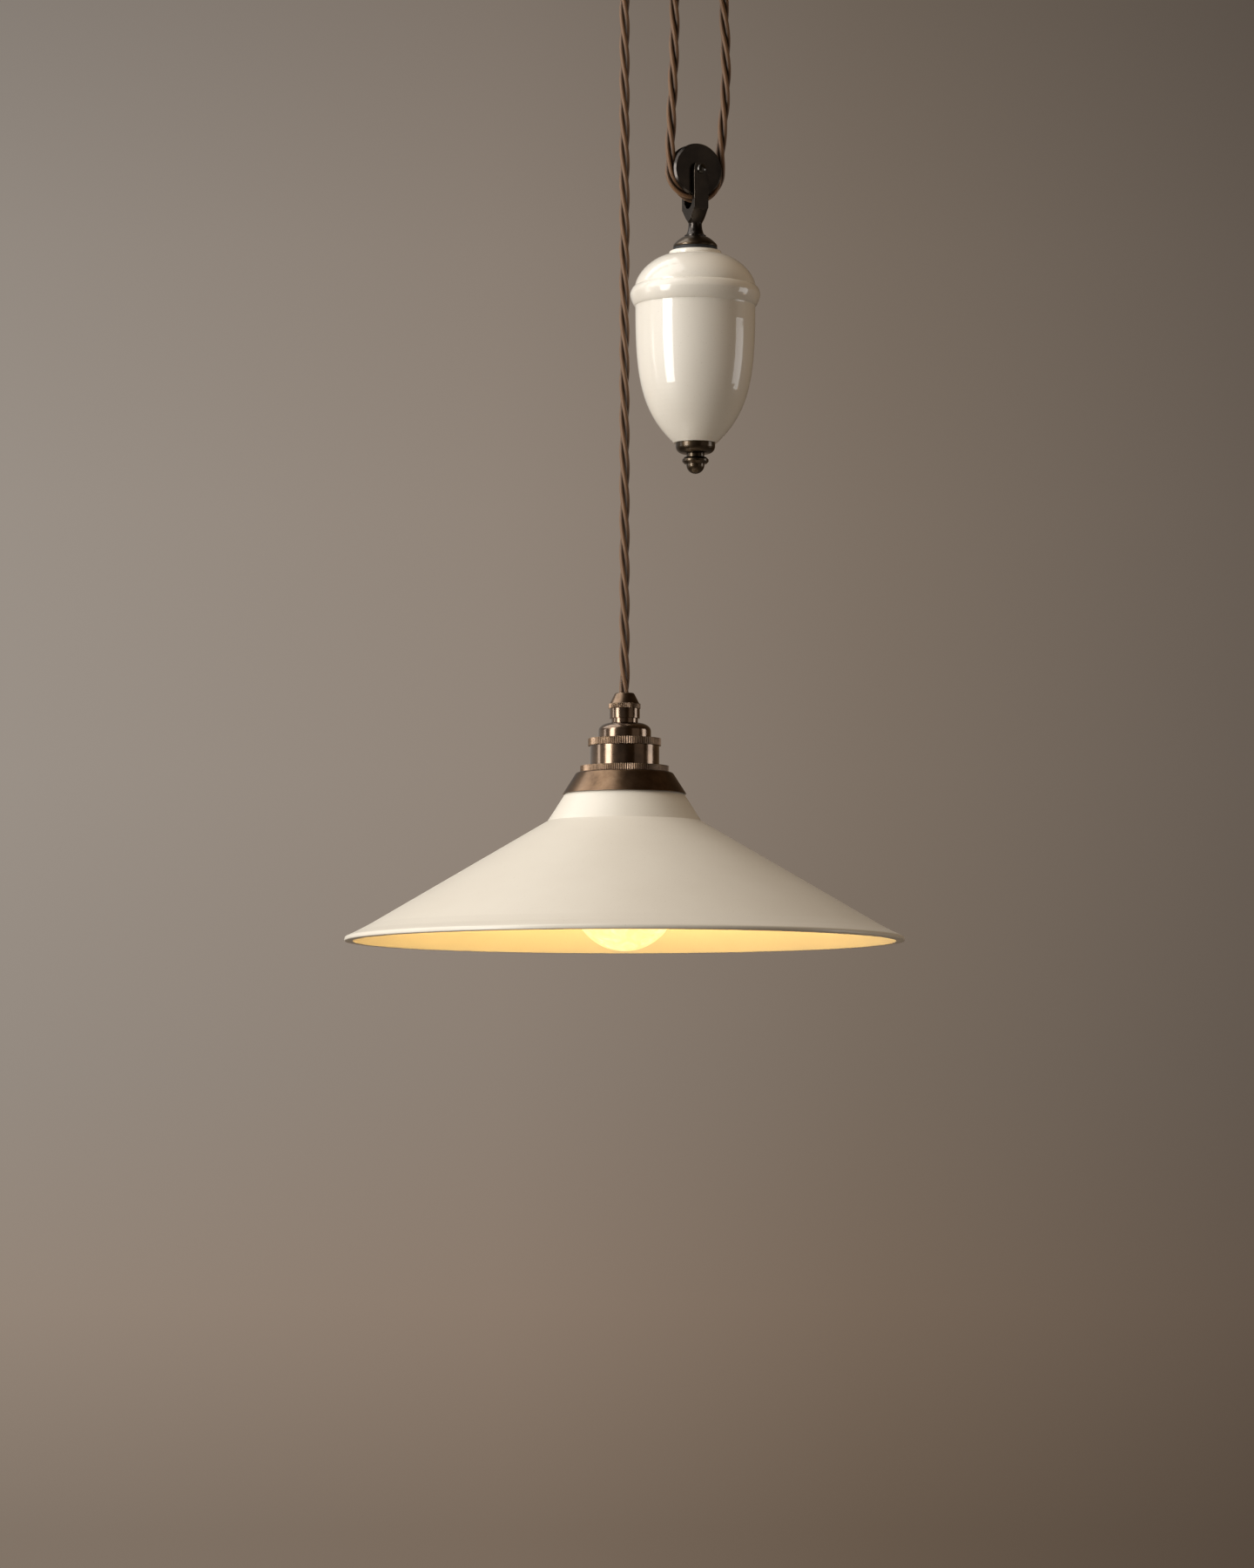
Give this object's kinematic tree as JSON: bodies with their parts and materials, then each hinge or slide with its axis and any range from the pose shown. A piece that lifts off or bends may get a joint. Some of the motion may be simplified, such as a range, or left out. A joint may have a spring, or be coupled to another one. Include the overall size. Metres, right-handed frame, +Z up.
{
  "type": "rise and fall pendant",
  "caption": "Rise and fall ceiling pendant with a porcelain cone shade on a twisted flex, balanced over pulleys by a porcelain counterweight.",
  "frame": {"origin": "centre of the ceiling face, where the bracket's strap and the rose cover meet the ceiling", "axes": "+Z up into the ceiling, the object hangs along -Z; the flex runs in the XZ plane, with the lamp towards -X and the counterweight towards +X"},
  "size_m": [0.32, 0.32, 0.6514],
  "materials": {
    "antique_brass": "satin",
    "plain_brass": "satin",
    "blackened_bronze": "satin",
    "zinc_steel": "satin",
    "shade_porcelain": "gloss",
    "weight_porcelain": "gloss",
    "insulator_porcelain": "matte",
    "terminal_plastic": "gloss",
    "black_rubber": "matte",
    "lead_fill": "matte",
    "brown_braid": "satin",
    "core_live": "satin",
    "core_neutral": "satin",
    "core_earth": "satin",
    "bulb_glass": "gloss",
    "bulb_cap_metal": "satin",
    "bulb_black_glass": "gloss"
  },
  "bodies": {
    "root": {"ceiling_bracket": "zinc_steel", "rose_cover": "antique_brass", "rose_screws": "antique_brass", "terminal_block": "terminal_plastic", "terminal_inserts": "plain_brass", "terminal_screws": "zinc_steel", "block_screw": "zinc_steel", "top_fork": "blackened_bronze", "top_fork_cap": "antique_brass", "top_fork_washer": "black_rubber", "top_fork_nut": "zinc_steel", "top_axle": "blackened_bronze", "anchor_grip_body": "antique_brass", "anchor_grip_nut": "antique_brass", "anchor_grip_insert": "black_rubber", "anchor_locknut": "zinc_steel", "tail_live": "core_live", "tail_neutral": "core_neutral", "tail_earth": "core_earth", "flex_top_wrap": "brown_braid"},
    "top_pulley_wheel": {"top_pulley": "blackened_bronze", "top_pulley_bush": "plain_brass"},
    "counterweight": {"weight_fork": "blackened_bronze", "weight_fork_cap": "antique_brass", "weight_washer": "black_rubber", "weight_shell": "weight_porcelain", "tie_rod": "zinc_steel", "ballast": "lead_fill", "filler_plug": "black_rubber", "tie_nut": "zinc_steel", "bottom_cup": "antique_brass", "finial": "antique_brass", "weight_axle": "blackened_bronze", "flex_weight_wrap": "brown_braid", "flex_weight_drop": "brown_braid", "flex_anchor_drop": "brown_braid"},
    "weight_pulley_wheel": {"weight_pulley": "blackened_bronze", "weight_pulley_bush": "plain_brass"},
    "lamp": {"cord_grip_nut": "antique_brass", "cord_grip_insert": "black_rubber", "cord_grip_body": "antique_brass", "lampholder_cap": "antique_brass", "lampholder_collar": "antique_brass", "lampholder_body": "antique_brass", "shade_ring_outer": "antique_brass", "shade_ring_inner": "antique_brass", "gallery": "antique_brass", "gallery_gasket": "black_rubber", "shade": "shade_porcelain", "holder_insulator": "insulator_porcelain", "screw_shell": "plain_brass", "centre_contact": "plain_brass", "holder_screws": "plain_brass", "holder_tails": "brown_braid", "bulb_glass": "bulb_glass", "bulb_cap": "bulb_cap_metal", "bulb_insulator": "bulb_black_glass", "bulb_tip": "bulb_cap_metal", "flex_lamp_drop": "brown_braid"}
  },
  "joints": [
    {"name": "lamp_slide", "type": "slide", "parent": "root", "child": "lamp", "axis": [0, 0, 1], "range_m": [-0.12, 0.115], "deforming": ["flex_lamp_drop"]},
    {"name": "counterweight_slide", "type": "slide", "parent": "root", "child": "counterweight", "axis": [0, 0, 1], "range_m": [-0.0575, 0.06], "deforming": ["flex_weight_drop", "flex_anchor_drop"]},
    {"name": "top_pulley_spin", "type": "hinge", "parent": "root", "child": "top_pulley_wheel", "pos_m": [-0.024, 0, -0.081], "axis": [0, 1, 0], "range_deg": [-433, 415]},
    {"name": "weight_pulley_spin", "type": "hinge", "parent": "counterweight", "child": "weight_pulley_wheel", "pos_m": [0.0052, 0, -0.1975], "axis": [0, 1, 0], "range_deg": [-208, 217]}
  ],
  "couplings": [
    {"joint": "counterweight_slide", "follows": "lamp_slide", "ratio": -0.5},
    {"joint": "top_pulley_spin", "follows": "lamp_slide", "rad_per_m": 62.5},
    {"joint": "weight_pulley_spin", "follows": "lamp_slide", "rad_per_m": -31.25}
  ]
}
